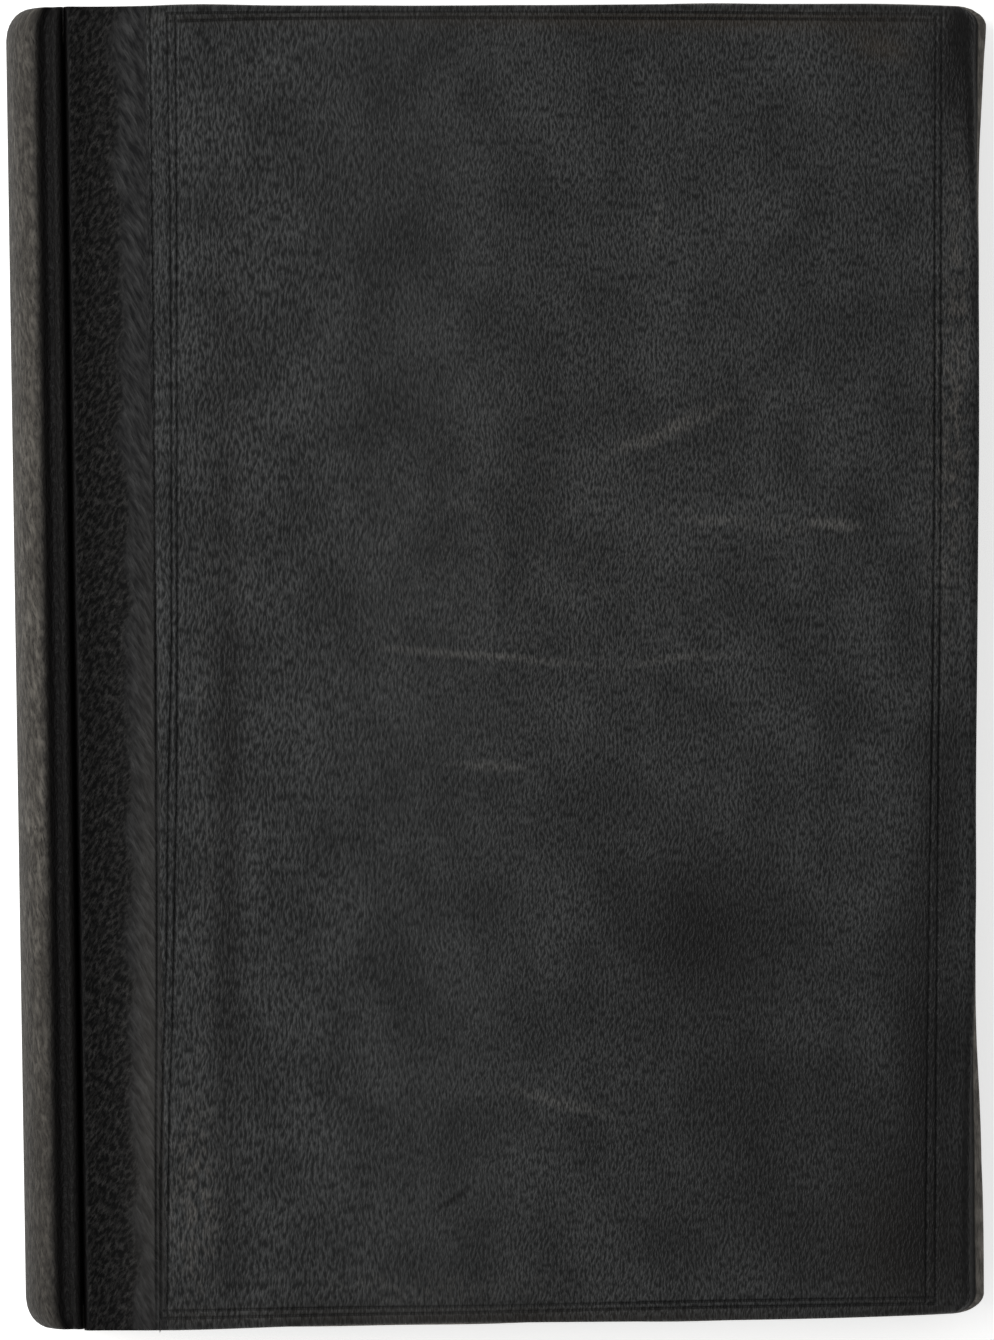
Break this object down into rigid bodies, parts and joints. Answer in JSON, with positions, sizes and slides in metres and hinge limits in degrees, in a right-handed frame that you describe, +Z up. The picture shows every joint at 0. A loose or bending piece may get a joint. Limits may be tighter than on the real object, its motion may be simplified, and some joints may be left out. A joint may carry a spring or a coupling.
{
  "type": "antique leather book",
  "caption": "Old leather-bound book with turned-down cover edges, a rounded spine and two covers that open.",
  "frame": {"origin": "middle of the footprint, on the surface that the back cover lies on", "axes": "+Z up through the closed book's thickness, +Y towards the head, the spine on the -X side"},
  "size_m": [0.1511, 0.205, 0.032],
  "materials": {
    "cover_leather": "grained, worn",
    "spine_leather": "rubbed, faded",
    "board": "matte",
    "tape": "woven",
    "mull": "open weave",
    "endband": "sewn",
    "page_edges": "aged",
    "endpaper": "aged"
  },
  "bodies": {
    "book_block": {"text_block": "page_edges", "front_flyleaf": "endpaper", "back_flyleaf": "endpaper", "sewing_tape_1": "tape", "sewing_tape_2": "tape", "sewing_tape_3": "tape", "sewing_tape_4": "tape", "spine_mull": "mull", "headband": "endband", "tailband": "endband", "spine_inlay": "board", "spine_leather": "spine_leather"},
    "front_cover": {"front_leather": "cover_leather", "front_board": "board", "front_mull_flange": "mull", "front_tape_slip_1": "tape", "front_tape_slip_2": "tape", "front_tape_slip_3": "tape", "front_tape_slip_4": "tape", "front_infill": "endpaper", "front_pastedown": "endpaper"},
    "back_cover": {"back_leather": "cover_leather", "back_board": "board", "back_mull_flange": "mull", "back_tape_slip_1": "tape", "back_tape_slip_2": "tape", "back_tape_slip_3": "tape", "back_tape_slip_4": "tape", "back_infill": "endpaper", "back_pastedown": "endpaper"}
  },
  "joints": [
    {"name": "front_hinge", "type": "hinge", "parent": "book_block", "child": "front_cover", "pos_m": [-0.06508, 0, 0.0314], "axis": [0.0157, -0.9999, 0], "range_deg": [0, 178]},
    {"name": "back_hinge", "type": "hinge", "parent": "book_block", "child": "back_cover", "pos_m": [-0.06508, 0, 0.0006], "axis": [-0.0157, 0.9999, 0], "range_deg": [0, 178]}
  ]
}
